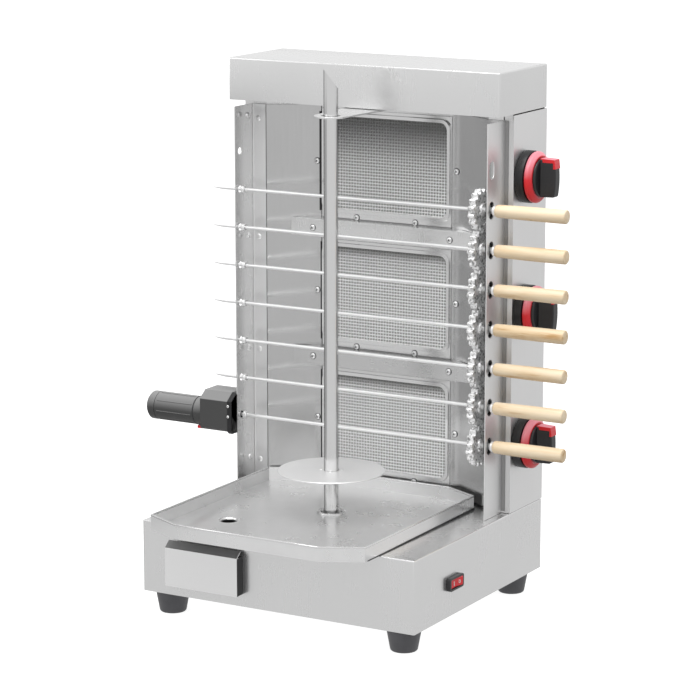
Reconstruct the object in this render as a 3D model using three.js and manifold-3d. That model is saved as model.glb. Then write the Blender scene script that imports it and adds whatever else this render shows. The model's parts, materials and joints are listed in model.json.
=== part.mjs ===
// Vertical gas rotisserie broiler with a motor-driven spit and seven geared skewers.
// Millimetres, +Z up, +X to the right of a person who stands in front, +Y towards the back.
import * as THREE from 'three';
import { mergeVertices } from 'three/addons/utils/BufferGeometryUtils.js';
import Module from 'manifold-3d';

const wasm = await Module();
wasm.setup();

// ---------------------------------------------------------------- driving dimensions
const sheet = 1.2; // casing sheet thickness
const bendRadius = 2; // outside radius of the casing's folds
const gap = 0.4; // clearance between neighbouring pieces

const bodyWidth = 350;
const bodyDepth = 310;
const footHeight = 26;
const baseHeight = 83;
const hoodHeight = 49;
const hoodDepth = 119;
const hoodBottom = 566;

const spitY = 124; // spit axis, behind the base front
const spitRadius = 8;
const spitTop = 616;
const spitBevel = 21; // height of the slanted cut
const bevelTurn = 37; // degrees from +X to the low side of the cut
const discRadius = 61;
const discHeight = 160;

const skewerCount = 7;
const skewerPitch = 44.7; // also the gears' pitch diameter
const skewerY = 195;
const lowestSkewer = 193.7;
const gearTeeth = 16;
const gearX = 150;
const gearWidth = 8;

const burnerCount = 3;
const burnerPitch = 152.7;
const lowestBurner = 188;
const burnerY = 250; // front face of the burner frames
const frameHalfWidth = 85;
const windowHalfWidth = 80;
const windowHalfHeight = 54.5;

const plateX = 163; // inner face of the skewer plates
const plateFront = 185;
const flangeY = 227; // front face of the column flanges
const valveY = 256; // knob and valve axis
const venturiY = burnerY + 16; // axis of the burners' venturi tubes and the injectors

const trayLeft = -143;
const trayRight = 131.5;
const trayFront = -54;
const trayBack = 245;
const trayWall = 17;

const handleStart = 170.4;
const handleEnd = 257;
const rodTip = -200;
const motorEnd = -290;
const inletEnd = 328;

// ---------------------------------------------------------------- derived levels
const halfWidth = bodyWidth / 2;
const baseTop = footHeight + baseHeight;
const hoodTop = hoodBottom + hoodHeight;
const motorAxisY = skewerY + 2;
const motorAxisZ = lowestSkewer - 2.5;
const burnerLevels = Array.from({ length: burnerCount }, (_, i) => lowestBurner + i * burnerPitch);
const skewerLevels = Array.from({ length: skewerCount }, (_, i) => lowestSkewer + i * skewerPitch);
const spareLevel = lowestSkewer + skewerCount * skewerPitch;

// ---------------------------------------------------------------- materials
const finish = (color, roughness, metalness) =>
  () => new THREE.MeshStandardMaterial({ color, roughness, metalness });
const steel = finish(0xc9cacb, 0.3, 1);
const polished = finish(0xdedfe0, 0.15, 1);
const castMetal = finish(0xb8b9ba, 0.4, 1);
const brass = finish(0xb9964a, 0.35, 1);
const ceramic = finish(0xe6e0d6, 0.9, 0);
const wood = finish(0xdcb884, 0.6, 0);
const blackPlastic = finish(0x232425, 0.4, 0);
const redPlastic = finish(0xd5161f, 0.35, 0);
const rubber = finish(0x1d1d1f, 0.8, 0);

// ---------------------------------------------------------------- solid helpers
const broiler = new THREE.Group();

function addPart(name, geometry, material) {
  const mesh = new THREE.Mesh(geometry, material());
  mesh.name = name;
  broiler.add(mesh);
  return mesh;
}

function toSolid(geometry) {
  const bare = new THREE.BufferGeometry();
  bare.setAttribute('position', geometry.getAttribute('position').clone());
  bare.setIndex(geometry.getIndex());
  const merged = mergeVertices(bare, 1e-3);
  return new wasm.Manifold(new wasm.Mesh({
    numProp: 3,
    vertProperties: new Float32Array(merged.getAttribute('position').array),
    triVerts: new Uint32Array(merged.getIndex().array),
  }));
}

function toGeometry(solid) {
  const { vertProperties, triVerts } = solid.getMesh();
  const geometry = new THREE.BufferGeometry();
  geometry.setAttribute('position', new THREE.BufferAttribute(vertProperties, 3));
  geometry.setIndex(new THREE.BufferAttribute(triVerts, 1));
  return geometry;
}

const join = (first, ...rest) => toGeometry(rest.reduce((all, g) => all.add(toSolid(g)), toSolid(first)));
const cut = (first, ...rest) =>
  toGeometry(rest.reduce((all, g) => all.subtract(toSolid(g)), toSolid(first)));

const common = (first, ...rest) =>
  toGeometry(rest.reduce((all, g) => all.intersect(toSolid(g)), toSolid(first)));

// Box between two opposite corners.
function box(x0, x1, y0, y1, z0, z1) {
  const geometry = new THREE.BoxGeometry(x1 - x0, y1 - y0, z1 - z0);
  return geometry.translate((x0 + x1) / 2, (y0 + y1) / 2, (z0 + z1) / 2);
}

// Round bar along Z between two levels.
function barZ(x, y, z0, z1, radius, sides = 24) {
  const geometry = new THREE.CylinderGeometry(radius, radius, z1 - z0, sides).rotateX(Math.PI / 2);
  return geometry.translate(x, y, (z0 + z1) / 2);
}

// Round bar along X.
function barX(x0, x1, y, z, radius, sides = 24) {
  const geometry = new THREE.CylinderGeometry(radius, radius, x1 - x0, sides).rotateZ(-Math.PI / 2);
  return geometry.translate((x0 + x1) / 2, y, z);
}

// Round bar along Y.
function barY(x, y0, y1, z, radius, sides = 24) {
  const geometry = new THREE.CylinderGeometry(radius, radius, y1 - y0, sides);
  return geometry.translate(x, (y0 + y1) / 2, z);
}

function shapeOf(points) {
  return new THREE.Shape(points.map(([x, y]) => new THREE.Vector2(x, y)));
}

// Flat outline in XY raised from z0 to z1.
function prismZ(shape, z0, z1, curveSegments = 5) {
  const geometry = new THREE.ExtrudeGeometry(shape, { depth: z1 - z0, bevelEnabled: false, curveSegments });
  return geometry.translate(0, 0, z0);
}

// Outline drawn in (y, z), carried along X from x0 to x1.
function prismX(shape, x0, x1, curveSegments = 5) {
  const geometry = new THREE.ExtrudeGeometry(shape, { depth: x1 - x0, bevelEnabled: false, curveSegments });
  return geometry.rotateZ(Math.PI / 2).rotateY(Math.PI / 2).translate(x0, 0, 0);
}

// Outline drawn in (x, z), carried along Y from y0 to y1.
function prismY(shape, y0, y1, curveSegments = 5) {
  const geometry = new THREE.ExtrudeGeometry(shape, { depth: y1 - y0, bevelEnabled: false, curveSegments });
  return geometry.rotateX(Math.PI / 2).translate(0, y1, 0);
}

// Solid of revolution about Z from (radius, z) points that run from the bottom to the top.
function lathe(points, sides = 24) {
  const profile = points.map(([r, z]) => new THREE.Vector2(r, z));
  return new THREE.LatheGeometry(profile, sides).rotateX(Math.PI / 2);
}

// The same about X: (radius, x) points run from -X to +X.
const latheX = (points, sides) => lathe(points, sides).rotateY(Math.PI / 2);

// Sheet folded along a line of (x, y) points, of the given thickness, standing from z0 to z1.
function foldedSheet(points, thickness, z0, z1) {
  const line = points.map(([x, y]) => new THREE.Vector2(x, y));
  const side = (offset) => line.map((point, i) => {
    const before = i > 0 ? point.clone().sub(line[i - 1]).normalize() : null;
    const after = i < line.length - 1 ? line[i + 1].clone().sub(point).normalize() : null;
    const along = (before ?? after).clone().add(after ?? before).normalize();
    const normal = new THREE.Vector2(-along.y, along.x);
    const straight = (before ?? after);
    const miter = 1 / (normal.x * -straight.y + normal.y * straight.x);
    return point.clone().addScaledVector(normal, offset * miter);
  });
  const outline = [...side(thickness / 2), ...side(-thickness / 2).reverse()];
  return prismZ(new THREE.Shape(outline), z0, z1);
}

function roundedRect(halfW, halfH, radius, centreX = 0, centreY = 0) {
  const shape = new THREE.Shape();
  const [x0, x1] = [centreX - halfW, centreX + halfW];
  const [y0, y1] = [centreY - halfH, centreY + halfH];
  shape.moveTo(x0 + radius, y0);
  shape.lineTo(x1 - radius, y0);
  shape.absarc(x1 - radius, y0 + radius, radius, -Math.PI / 2, 0);
  shape.lineTo(x1, y1 - radius);
  shape.absarc(x1 - radius, y1 - radius, radius, 0, Math.PI / 2);
  shape.lineTo(x0 + radius, y1);
  shape.absarc(x0 + radius, y1 - radius, radius, Math.PI / 2, Math.PI);
  shape.lineTo(x0, y0 + radius);
  shape.absarc(x0 + radius, y0 + radius, radius, Math.PI, 1.5 * Math.PI);
  return shape;
}

// Box with rounded folds all round, except at its open underside.
function bentBox(x0, x1, y0, y1, z0, z1) {
  const below = z0 - bendRadius * 2;
  const [halfX, halfY, halfZ] = [(x1 - x0) / 2, (y1 - y0) / 2, (z1 - below) / 2];
  const [midX, midY, midZ] = [(x0 + x1) / 2, (y0 + y1) / 2, (below + z1) / 2];
  return common(
    box(x0, x1, y0, y1, z0, z1),
    prismZ(roundedRect(halfX, halfY, bendRadius, midX, midY), below, z1, 3),
    prismX(roundedRect(halfY, halfZ, bendRadius, midY, midZ), x0, x1, 3),
    prismY(roundedRect(halfX, halfZ, bendRadius, midX, midZ), y0, y1, 3),
  );
}

const mirrorPoints = (points) => points.map(([x, y]) => [-x, y]);

// ---------------------------------------------------------------- base
const drain = { x: -85, y: 40, radius: 8.4, flare: 11.6 };
const drawer = { left: -137, right: -42, bottom: footHeight + 14, top: footHeight + 58.3, proud: 13 };
const drawerPan = { left: -134, right: -54, bottom: 43, top: 80, back: 200 };
const drawerMouthEnd = -47.5; // the mouth is wider than the pan on this side
const rocker = { y: 90, z: 63.5, halfLength: 16, halfHeight: 7.5, proud: 5 };
const powerInlet = { x: -120, z: 63 };
const inletLevel = 156;
const couplerHole = 14;

function makeBase() {
  const shell = bentBox(-halfWidth, halfWidth, 0, bodyDepth, footHeight, baseTop);
  const hollow = box(-halfWidth + sheet, halfWidth - sheet, sheet, bodyDepth - sheet,
    footHeight - 1, baseTop - sheet);
  const drawerMouth = box(drawerPan.left - 1, drawerMouthEnd, -1, 3,
    drawerPan.bottom - 1, drawerPan.top + 1);
  const rockerMouth = box(halfWidth - 3, halfWidth + 1, rocker.y - 13.5, rocker.y + 13.5,
    rocker.z - 6, rocker.z + 6);
  addPart('base_housing', cut(
    shell, hollow, drawerMouth, rockerMouth,
    barZ(0, spitY, baseTop - 3, baseTop + 1, couplerHole),
    barZ(drain.x, drain.y, baseTop - 3, baseTop + 1, drain.flare + 2.4),
    barY(powerInlet.x, bodyDepth - 3, bodyDepth + 1, powerInlet.z, 8.5, 16),
  ), steel);
}

// Bottom cover with two folded runners that carry the drawer pan.
function makeBottomPlate() {
  const inset = sheet + gap;
  const plate = box(-halfWidth + inset, halfWidth - inset, inset, bodyDepth - inset,
    footHeight, footHeight + sheet);
  const runner = (x) => box(x, x + 10, 12, 190, footHeight, drawerPan.bottom - gap);
  const slots = [-1, 0, 1].map((i) => box(60 + i * 34, 70 + i * 34, 120, 240, footHeight - 1, footHeight + 3));
  const joined = join(plate, runner(drawerPan.left + 4), runner(drawerPan.right - 14));
  addPart('base_bottom_plate', cut(joined, ...slots), steel);
}

function makeFeet() {
  const top = footHeight - gap;
  const profile = [[0, 8], [4, 8], [4, 0], [13.5, 0], [15.2, 1.7], [19.7, top], [0, top]];
  const insetX = 25;
  const spots = { front_left: [-1, 23], front_right: [1, 23], rear_left: [-1, 283], rear_right: [1, 283] };
  for (const [where, [side, y]] of Object.entries(spots)) {
    const foot = addPart(`foot_${where}`, lathe(profile, 20), rubber);
    foot.position.set(side * (halfWidth - insetX), y, 0);
  }
}

// Octagonal pan with a low rolled ring round the spit and a sunk drain over the drawer.
function makeTray() {
  const wall = 1.5;
  const cornerX = 45;
  const cornerY = 23;
  const outline = (inset) => {
    const [left, right] = [trayLeft + inset, trayRight - inset];
    const [front, back] = [trayFront + inset, trayBack - inset];
    return shapeOf([
      [right - cornerX, front], [right, front + cornerY], [right, back - cornerY], [right - cornerX, back],
      [left + cornerX, back], [left, back - cornerY], [left, front + cornerY], [left + cornerX, front],
    ]);
  };
  const bottom = baseTop + gap;
  const floor = bottom + wall;
  const pan = cut(prismZ(outline(0), bottom, bottom + trayWall),
    prismZ(outline(wall), floor, bottom + trayWall + 1));
  const ring = lathe([[12, bottom], [16.5, bottom], [16.5, floor + 1.2], [15.6, floor + 2.6], [14.2, floor + 3.2],
    [12.8, floor + 2.6], [12, floor + 1.2], [12, bottom]], 32).translate(0, spitY, 0);
  const spout = lathe([[0, bottom - 9], [drain.radius + 1.2, bottom - 9], [drain.radius + 1.2, bottom - 3],
    [drain.flare + 1.2, bottom], [drain.flare + 1.2, bottom + 0.5], [0, bottom + 0.5]]);
  const funnel = lathe([[0, bottom - 10], [drain.radius, bottom - 10], [drain.radius, bottom - 2.5],
    [drain.flare, floor], [drain.flare, floor + 1], [0, floor + 1]]);
  addPart('drip_tray', cut(
    join(pan, ring, spout.translate(drain.x, drain.y, 0)),
    barZ(0, spitY, bottom - 1, floor + 1, 12),
    funnel.translate(drain.x, drain.y, 0),
  ), polished);
}

// Slide-out fat drawer: a deep pan behind a proud front plate with short side hems and a slanted top lip.
function makeDrawer() {
  const front = -drawer.proud;
  const hem = 5;
  const [lipDepth, lipRise, lipThickness] = [9, 7, 1.6];
  const pan = box(drawerPan.left, drawerPan.right, front + 0.1, drawerPan.back, drawerPan.bottom, drawerPan.top);
  const panInside = box(drawerPan.left + sheet, drawerPan.right - sheet, front + sheet,
    drawerPan.back - sheet, drawerPan.bottom + sheet, drawerPan.top + 1);
  const lip = shapeOf([[front, drawer.top - lipThickness], [front + lipDepth, drawer.top + lipRise - lipThickness],
    [front + lipDepth, drawer.top + lipRise], [front, drawer.top]]);
  addPart('grease_drawer', join(
    cut(pan, panInside),
    box(drawer.left, drawer.right, front, front + sheet, drawer.bottom, drawer.top - 0.1),
    box(drawer.left, drawer.left + sheet, front, front + hem, drawer.bottom, drawer.top - 0.1),
    box(drawer.right - sheet, drawer.right, front, front + hem, drawer.bottom, drawer.top - 0.1),
    prismX(lip, drawer.left, drawer.right),
  ), steel);
}

function makeRocker() {
  const face = halfWidth + rocker.proud;
  const block = prismX(roundedRect(rocker.halfLength, rocker.halfHeight, 3, rocker.y, rocker.z),
    halfWidth + gap, face);
  const plug = box(halfWidth - 20, halfWidth + 1, rocker.y - 13, rocker.y + 13, rocker.z - 5.6, rocker.z + 5.6);
  const pocket = box(face - 6, face + 1, rocker.y - 13.4, rocker.y + 13.4, rocker.z - 5.4, rocker.z + 5.4);
  addPart('rocker_housing', cut(join(block, plug), pocket), blackPlastic);

  // The cap is a shallow V seen from above; its front end is pressed in.
  const cap = shapeOf([[0.5, -12.3], [2.4, -12.3], [2.2, 0], [4.5, 12.3], [1.6, 12.3], [-1.2, 0]]);
  addPart('rocker', prismZ(cap, -4.9, 4.9), redPlastic).position.set(face - 3.6, rocker.y, rocker.z);
}

// Strain-relief gland for the supply lead, on the back of the base.
function makePowerInlet() {
  const y = bodyDepth;
  addPart('power_inlet', cut(
    join(barY(powerInlet.x, y + gap, y + 6, powerInlet.z, 12, 6),
      barY(powerInlet.x, y - 12, y + 7, powerInlet.z, 7.8, 16),
      barY(powerInlet.x, y + 5, y + 14, powerInlet.z, 9, 16)),
    barY(powerInlet.x, y - 13, y + 15, powerInlet.z, 3.6, 12),
  ), blackPlastic);
}

// ---------------------------------------------------------------- columns, reflectors, hood
const columnBottom = baseTop + gap;
const columnTop = hoodBottom - 1.5;
const plateTop = hoodBottom - 7;
const slotHalfWidth = 6;
const slotHalfHeight = 10;
const reflector = { outer: 144.5, inner: 99.4, front: 224.5, back: burnerY + 0.6 };

// Side wall, rear return, front flange and the plate that carries the skewers.
function makeColumn(side) {
  const t = sheet / 2;
  const outer = halfWidth - t;
  const plate = plateX + t;
  const line = [[157, bodyDepth - t], [outer, bodyDepth - t], [outer, flangeY + t], [plate, flangeY + t],
    [plate, plateFront]];
  const points = side > 0 ? line : mirrorPoints(line);
  const name = side > 0 ? 'column_right' : 'column_left';
  const [notchStart, notchEnd] = [plateX - 3, halfWidth - sheet].map((x) => side * x);
  const cutters = [box(Math.min(notchStart, notchEnd), Math.max(notchStart, notchEnd),
    plateFront - 2, flangeY + 4, plateTop, columnTop + 1)];
  for (const z of [...skewerLevels, spareLevel]) {
    const slot = roundedRect(slotHalfWidth, slotHalfHeight, slotHalfWidth - 0.01, skewerY, z);
    cutters.push(side > 0 ? prismX(slot, plateX - 2, plateX + 4, 3)
      : barX(-plateX - 4, -plateX + 2, skewerY, z, 4.3, 12));
  }
  for (const z of side > 0 ? burnerLevels : []) {
    cutters.push(barX(halfWidth - 4, halfWidth + 2, valveY, z, 6, 16));
  }
  addPart(name, cut(foldedSheet(points, sheet, columnBottom, columnTop), ...cutters), steel);
}

function makeReflector(side) {
  const t = 0.8;
  const line = [[plateX - 0.8, reflector.front], [reflector.outer, reflector.front],
    [reflector.inner, reflector.back], [frameHalfWidth + 1.2, reflector.back]];
  const points = side > 0 ? line : mirrorPoints(line);
  addPart(side > 0 ? 'reflector_right' : 'reflector_left',
    foldedSheet(points, t, columnBottom + gap, plateTop), polished);
}

function makeRearPanel() {
  const inside = halfWidth - sheet - gap * 2;
  const [front, back] = [bodyDepth - sheet - gap - 1, bodyDepth - sheet - gap];
  const panel = box(-inside, inside, front, back, columnBottom, hoodTop - sheet - 4);
  const vents = [];
  for (let row = 0; row < 6; row += 1) {
    for (const x of [-70, 0, 70]) {
      vents.push(box(x - 25, x + 25, front - 1, back + 1, 400 + row * 16, 405 + row * 16));
    }
  }
  addPart('rear_panel', cut(panel, ...vents, barY(manifold.x, front - 1, back + 1, inletLevel, 10.5, 16)), steel);
}

function makeHood() {
  const front = bodyDepth - hoodDepth;
  const shell = bentBox(-halfWidth, halfWidth, front, bodyDepth, hoodBottom, hoodTop);
  const hollow = box(-halfWidth + sheet, halfWidth - sheet, front + sheet, bodyDepth - sheet,
    hoodBottom - 1, hoodTop - sheet);
  addPart('hood', cut(shell, hollow), steel);
}

// Flat arm under the hood with a round nose and a loose hole that steadies the spit.
function makeSpitBracket() {
  const noseRadius = 19;
  const [z0, z1] = [hoodBottom - 2.8, hoodBottom - 0.8];
  const back = bodyDepth - sheet - gap * 2 - 1.2;
  const arm = new THREE.Shape();
  arm.absarc(0, spitY, noseRadius, Math.PI, 2 * Math.PI);
  arm.lineTo(noseRadius + 4, bodyDepth - hoodDepth);
  arm.lineTo(noseRadius + 4, back);
  arm.lineTo(-noseRadius - 4, back);
  arm.lineTo(-noseRadius - 4, bodyDepth - hoodDepth);
  const flange = box(-noseRadius - 4, noseRadius + 4, back - 2, back, z0, z1 + 28);
  addPart('spit_bracket', cut(join(prismZ(arm, z0, z1), flange), barZ(0, spitY, z0 - 1, z1 + 1, 11)), steel);
}

// Channel across the gap between two burners; its flanges follow the reflectors.
function makeCrossbar(name, level, halfLength) {
  const height = 21;
  const front = 237;
  const back = burnerY - gap;
  const slope = (reflector.outer - reflector.inner) / (reflector.back - reflector.front);
  const flangeHalf = (y) => Math.min(halfLength, reflector.inner + (reflector.back - y) * slope - 3);
  const outline = shapeOf([[-halfLength, front], [halfLength, front], [flangeHalf(back), back],
    [-flangeHalf(back), back]]);
  const [z0, z1] = [level - height / 2, level + height / 2];
  const block = prismZ(outline, z0, z1);
  const inside = box(-halfLength - 1, halfLength + 1, front + sheet, back + 1, z0 + sheet, z1 - sheet);
  addPart(name, cut(block, inside), steel);
}

// ---------------------------------------------------------------- burners
// Pressed front frame with a rounded window and a raised lip round it.
function makeBurnerFrame(index, level) {
  const lip = roundedRect(windowHalfWidth + 4, windowHalfHeight + 4, 12, 0, level);
  const opening = roundedRect(windowHalfWidth, windowHalfHeight, 9, 0, level);
  const plate = box(-frameHalfWidth, frameHalfWidth, burnerY, burnerY + 1.5, level - 68, level + 62);
  addPart(`burner_frame_${index}`, cut(join(plate, prismY(lip, burnerY - 3, burnerY + 1)),
    prismY(opening, burnerY - 4, burnerY + 3)), polished);
}

function makeTile(index, level) {
  const inset = 0.5;
  addPart(`ceramic_tile_${index}`, box(-windowHalfWidth - 2 + inset, windowHalfWidth + 2 - inset,
    burnerY + 2.5, burnerY + 14.5, level - windowHalfHeight - 2, level + windowHalfHeight + 2), ceramic);
}

// Mixing chamber behind the tile, with the venturi tube that faces the gas valve.
function makeBurnerBody(index, level) {
  const halfW = windowHalfWidth + 4;
  const halfH = windowHalfHeight + 5;
  const [front, back] = [burnerY + 2, burnerY + 36];
  const venturiEnd = 112;
  const chamber = box(-halfW, halfW, front, back, level - halfH, level + halfH);
  const hollow = box(-halfW + 1.6, halfW - 1.6, front - 1, back - 1.6, level - halfH + 1.6, level + halfH - 1.6);
  const venturi = barX(halfW - 1, venturiEnd, venturiY, level, 9, 16);
  const throat = barX(halfW - 4, venturiEnd + 1, venturiY, level, 7.2, 16);
  addPart(`burner_body_${index}`, cut(join(cut(chamber, hollow), venturi), throat), castMetal);
}

// ---------------------------------------------------------------- gas valves, knobs, manifold
const manifold = { x: 145, y: 287, radius: 7 };
const bezelThickness = 10.6;
const ringStart = halfWidth + gap + bezelThickness + gap;

function makeValve(index, level) {
  const body = prismX(roundedRect(13, 14, 4, valveY, level), 134, 160);
  const stem = barX(159, 200, valveY, level, 3.4, 12);
  const neck = barX(159, halfWidth - sheet - gap, valveY, level, 8, 16);
  const injector = barX(118, 135, venturiY, level, 4.5, 6);
  addPart(`gas_valve_${index}`, join(body, neck, stem, injector), brass);
}

// Round cup behind the knob, open to the front.
function makeBezel(index, level) {
  const [start, end] = [halfWidth + gap, halfWidth + gap + bezelThickness];
  addPart(`knob_bezel_${index}`, cut(
    barX(start, end, valveY, level, 29.5, 32),
    barX(start + 3, end + 1, valveY, level, 26, 24),
    barX(start - 1, end, valveY, level, 6, 12),
  ), blackPlastic);
}

// Flared ring, a low disc and a grip bar whose outer end is bowed; drawn at the axis and placed by its mesh.
function makeKnob(index, level) {
  const gripEnd = 27.5;
  const bow = 2;
  const skirt = latheX([[0, 0], [26.5, 0], [29, 1.5], [29, 5], [24, 8.5], [20, 8.5], [19, 11], [0, 11]], 32);
  const bar = prismX(roundedRect(6.5, 21.7, 4), 8, gripEnd + bow);
  const bowRadius = (21.7 ** 2 + bow ** 2) / (2 * bow);
  const nose = barY(gripEnd + bow - bowRadius, -8, 8, 0, bowRadius, 240);
  const bore = barX(-1, 200 - ringStart + gap * 2, 0, 0, 4.2, 12);
  const knob = addPart(`knob_${index}`, cut(join(skirt, common(bar, nose)), bore), blackPlastic);
  knob.position.set(ringStart, valveY, level);
}

// Vertical supply pipe with a branch to each valve and the inlet elbow at the back.
function makeManifold() {
  const { x, y, radius } = manifold;
  const valveBack = valveY + 13 + gap;
  addPart('gas_manifold', join(
    barZ(x, y, inletLevel - radius, burnerLevels[burnerCount - 1] + 12, radius, 16),
    barY(x, y, inletEnd, inletLevel, 8, 16),
    barY(x, bodyDepth + 1, bodyDepth + 9, inletLevel, 12, 6),
    ...burnerLevels.map((level) => barY(x, valveBack, y, level, 5, 12)),
  ), brass);
}

// ---------------------------------------------------------------- spit
const couplerFlange = { bottom: baseTop - 6, top: baseTop + 0.6 };

function makeGearmotor() {
  const top = baseTop - sheet - 6;
  addPart('spit_gearmotor', cut(
    join(prismZ(roundedRect(30, 30, 6, 0, spitY), 58, top), barZ(0, spitY + 6, 30, 59, 22)),
    barZ(0, spitY, top - 18, top + 1, 4.6, 16),
  ), castMetal);
}

function makeCoupler() {
  const pin = barX(-7.6, 7.6, spitY, couplerFlange.top + 8, 1.8, 12);
  addPart('spit_coupler', join(
    barZ(0, spitY, baseTop - sheet - 20, couplerFlange.bottom + 1, 4, 16),
    barZ(0, spitY, couplerFlange.bottom, couplerFlange.top, 11),
    barZ(0, spitY, couplerFlange.top - 1, couplerFlange.top + 20, 6),
    pin,
  ), castMetal);
}

// Hollow spit with a long bevelled point and two slots that drop over the coupler pin.
function makeSpitTube() {
  const bottom = couplerFlange.top + gap;
  const level = (x) => spitTop - (spitBevel * (x + spitRadius)) / (2 * spitRadius);
  const [left, right] = [-spitRadius - 1, spitRadius + 1];
  const bevel = shapeOf([[left, level(left)], [right, level(right)], [right, spitTop + 9], [left, spitTop + 9]]);
  const tube = cut(
    barZ(0, spitY, bottom, spitTop, spitRadius),
    barZ(0, spitY, bottom - 1, spitTop + 1, spitRadius - 1.2),
    box(-spitRadius - 1, spitRadius + 1, spitY - 2.3, spitY + 2.3, bottom - 1, bottom + 11),
    prismY(bevel, -12, 12).rotateZ(THREE.MathUtils.degToRad(bevelTurn)).translate(0, spitY, 0),
  );
  addPart('spit_tube', tube, polished);
}

function makeDisc() {
  const hub = barZ(0, spitY, discHeight - 11, discHeight + 0.5, 14);
  const plate = barZ(0, spitY, discHeight, discHeight + 1.5, discRadius, 40);
  addPart('spit_disc', cut(join(plate, hub),
    barZ(0, spitY, discHeight - 12, discHeight + 3, spitRadius + 0.45)), steel);
}

// ---------------------------------------------------------------- skewers
// Involute gear outline about the origin.
function gearOutline(phase) {
  const pitchRadius = skewerPitch / 2;
  const size = skewerPitch / gearTeeth; // module
  const pressure = THREE.MathUtils.degToRad(25);
  const baseRadius = pitchRadius * Math.cos(pressure);
  const radii = [pitchRadius - 0.85 * size, pitchRadius - 0.15 * size, pitchRadius + 0.6 * size];
  const backlash = 0.5;
  const halfTooth = Math.PI / 2 / gearTeeth - backlash / 2 / pitchRadius;
  const involute = (angle) => Math.tan(angle) - angle;
  const halfAngle = (r) => {
    const rolled = Math.acos(Math.min(1, baseRadius / r));
    return halfTooth + involute(pressure) - involute(rolled);
  };
  const points = [];
  for (let tooth = 0; tooth < gearTeeth; tooth += 1) {
    const centre = phase + (tooth * 2 * Math.PI) / gearTeeth;
    for (const r of radii) points.push([r, centre - halfAngle(r)]);
    for (const r of [...radii].reverse()) points.push([r, centre + halfAngle(r)]);
  }
  return shapeOf(points.map(([r, a]) => [r * Math.cos(a), r * Math.sin(a)]));
}

// Pointed rod, cast gear and collar in one piece. Skewers are numbered from the top.
function makeSkewer(index, level) {
  const rodRadius = 2;
  const shank = gearX - 10;
  const collar = plateX + sheet + 1.5;
  const ferrule = 5.75;
  const tang = handleStart + 24;
  const lowest = index === skewerCount;
  const tip = lowest ? -plateX - 16 : rodTip;
  const rod = latheX([[0, tip], [rodRadius, tip + (lowest ? 1 : 12)], [rodRadius, shank], [3.5, shank + 3],
    [3.5, collar], [ferrule, collar + 1.2], [ferrule, handleStart - gap], [2.4, handleStart - gap], [2.4, tang], [0, tang]], 10);
  const halfPitch = Math.PI / gearTeeth;
  const gear = prismX(gearOutline((index % 2) * halfPitch), gearX - gearWidth / 2, gearX + gearWidth / 2);
  addPart(`skewer_${index}`, join(rod, gear), polished).position.set(0, skewerY, level);

  const bore = [[0, tang + 1], [3, tang + 1], [3, handleStart]];
  const turned = [[7.2, handleStart], [8, handleEnd - 1.5], [7, handleEnd], [0, handleEnd]];
  addPart(`skewer_handle_${index}`, latheX([...bore, ...turned], 14), wood)
    .position.set(0, skewerY, level);
}

// ---------------------------------------------------------------- battery motor on the left plate
function makeSkewerMotor() {
  const boxRight = -plateX - sheet - gap;
  const boxLeft = boxRight - 44;
  const [front, back] = [skewerY - 21, skewerY + 27];
  const bottom = lowestSkewer - 19;
  const [shoulder, top] = [bottom + 37, bottom + 46];
  const cover = shapeOf([[front + 3, bottom], [back - 3, bottom], [back, bottom + 3], [back, shoulder],
    [back - 9, top], [front + 12, top], [front, shoulder], [front, bottom + 3]]);
  const neck = latheX([[0, boxLeft - 14], [17, boxLeft - 14], [18, boxLeft + 1], [0, boxLeft + 1]], 24)
    .translate(0, motorAxisY, motorAxisZ);
  const barrel = barX(motorEnd + 12, boxLeft, motorAxisY, motorAxisZ, 17);
  const bay = barX(motorEnd + 5, boxLeft - 6, motorAxisY, motorAxisZ, 15);
  const socket = barX(boxRight - 18, boxRight + 1, skewerY, lowestSkewer, 3.2, 12);
  const switchSlot = box(boxLeft - 12.4, boxLeft - 1.6, motorAxisY - 10.4, motorAxisY - 1.6,
    motorAxisZ - 24, motorAxisZ - 15.5);
  addPart('skewer_motor_housing',
    cut(join(prismX(cover, boxLeft, boxRight), neck, barrel), bay, socket, switchSlot), blackPlastic);

  const cap = [[0, motorEnd], [14, motorEnd], [17, motorEnd + 3], [17, motorEnd + 12 - gap],
    [14.4, motorEnd + 12 - gap], [14.4, motorEnd + 18], [12.8, motorEnd + 18], [12.8, motorEnd + 3],
    [0, motorEnd + 3]];
  addPart('battery_cap', latheX(cap, 24), blackPlastic).position.set(0, motorAxisY, motorAxisZ);
  addPart('motor_switch', box(boxLeft - 12, boxLeft - 5, motorAxisY - 10, motorAxisY - 2,
    motorAxisZ - 19.5, motorAxisZ - 16), redPlastic);
}

// ---------------------------------------------------------------- assembly
makeBase();
makeBottomPlate();
makeFeet();
makeTray();
makeDrawer();
makeRocker();
makePowerInlet();
for (const side of [-1, 1]) {
  makeColumn(side);
  makeReflector(side);
}
makeRearPanel();
makeHood();
makeSpitBracket();
makeCrossbar('crossbar_lower', lowestBurner + burnerPitch / 2 - 0.5, 117.4);
makeCrossbar('crossbar_upper', lowestBurner + burnerPitch * 1.5 - 0.5, 119.4);
burnerLevels.forEach((level, i) => {
  const index = burnerCount - i; // burner 1 is the top one
  makeBurnerFrame(index, level);
  makeTile(index, level);
  makeBurnerBody(index, level);
  makeValve(index, level);
  makeBezel(index, level);
  makeKnob(index, level);
});
makeManifold();
makeGearmotor();
makeCoupler();
makeSpitTube();
makeDisc();
skewerLevels.forEach((level, i) => makeSkewer(skewerCount - i, level));
makeSkewerMotor();

// The origin is the middle of the whole model's footprint, on the floor.
broiler.position.set(-(motorEnd + handleEnd) / 2, -(trayFront + inletEnd) / 2, 0);

export default broiler;
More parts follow.
